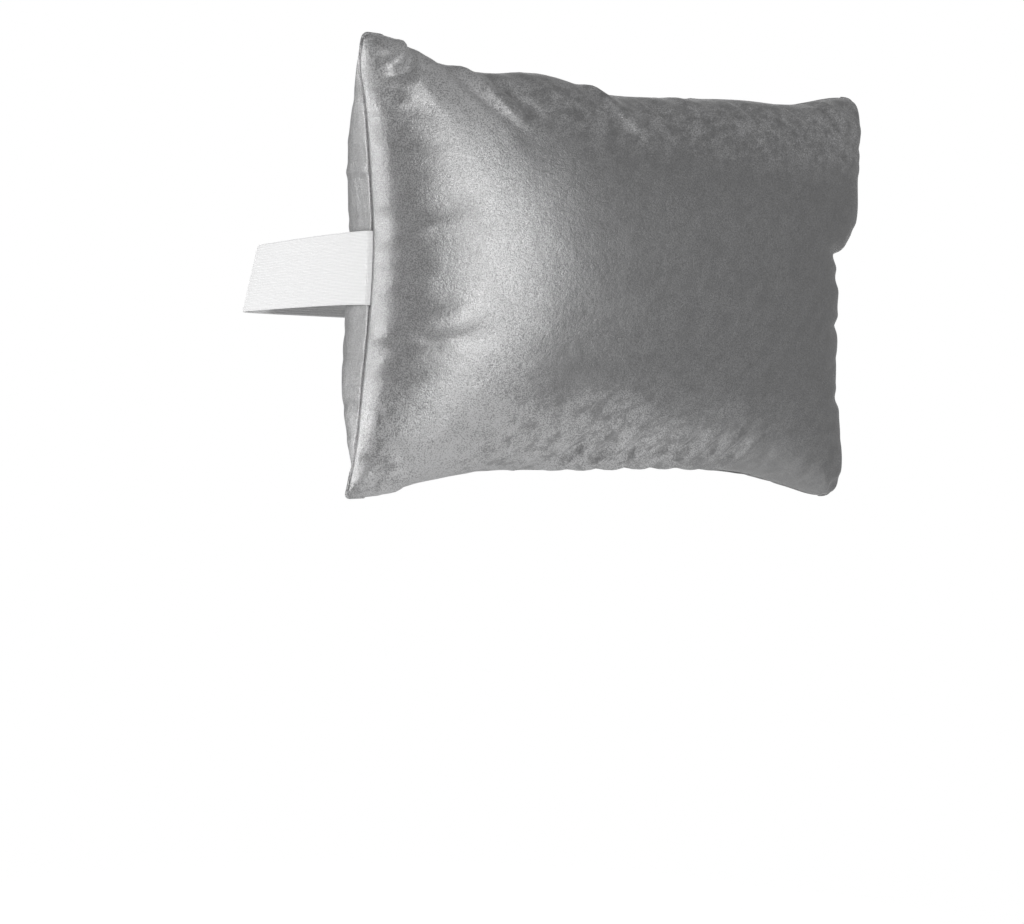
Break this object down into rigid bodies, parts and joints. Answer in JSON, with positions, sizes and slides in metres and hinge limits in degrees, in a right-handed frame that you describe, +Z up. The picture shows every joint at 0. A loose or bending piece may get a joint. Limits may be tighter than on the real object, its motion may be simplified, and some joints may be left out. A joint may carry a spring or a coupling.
{
  "type": "headrest neck pillow",
  "caption": "Stuffed velvet pillow with a hidden zip and an elastic loop that passes round a seat's headrest.",
  "frame": {"origin": "centre of the flat patch of the rear panel that rests on the headrest", "axes": "+X along the pillow's width, to the right as seen from in front; +Y to the rear, towards the headrest; +Z up"},
  "size_m": [0.35, 0.2282, 0.25],
  "materials": {
    "velvet": "crushed velvet pile",
    "elastic": "ribbed woven elastic",
    "thread": "spun polyester thread",
    "ticking": "plain woven ticking",
    "fibre_filling": "loose polyester fibre",
    "zip_tape": "woven tape",
    "zip_coil": "nylon monofilament",
    "zip_metal": "satin enamel"
  },
  "bodies": {
    "cover": {"front_panel": "velvet", "rear_panel": "velvet", "seam_thread_top": "thread", "seam_thread_bottom": "thread", "seam_thread_left": "thread", "seam_thread_right": "thread", "insert_case_front": "ticking", "insert_case_rear": "ticking", "insert_filling": "fibre_filling", "insert_seam_thread": "thread", "strap_tack_left": "thread", "strap_tack_right": "thread", "zip_tape_front": "zip_tape", "zip_tape_rear": "zip_tape", "zip_coil_front": "zip_coil", "zip_coil_rear": "zip_coil", "zip_stitching_front": "thread", "zip_stitching_rear": "thread", "zip_top_stops": "zip_metal", "zip_bottom_stop": "zip_metal"},
    "strap": {"elastic_strap": "elastic"},
    "slider": {"zip_slider": "zip_metal"},
    "pull_tab": {"zip_pull_tab": "zip_metal"}
  },
  "joints": [
    {"name": "strap_stretch", "type": "slide", "parent": "cover", "child": "strap", "axis": [0, 1, 0], "range_m": [0, 0.045], "stiffness_N_per_m": 120, "deforming": ["elastic_strap"]},
    {"name": "zip_travel", "type": "slide", "parent": "cover", "child": "slider", "axis": [-1, 0, 0], "range_m": [0, 0.1756]},
    {"name": "pull_tab_swing", "type": "hinge", "parent": "slider", "child": "pull_tab", "pos_m": [0.092, -0.048, -0.1079], "axis": [0, -1, 0], "range_deg": [0, 150]}
  ]
}
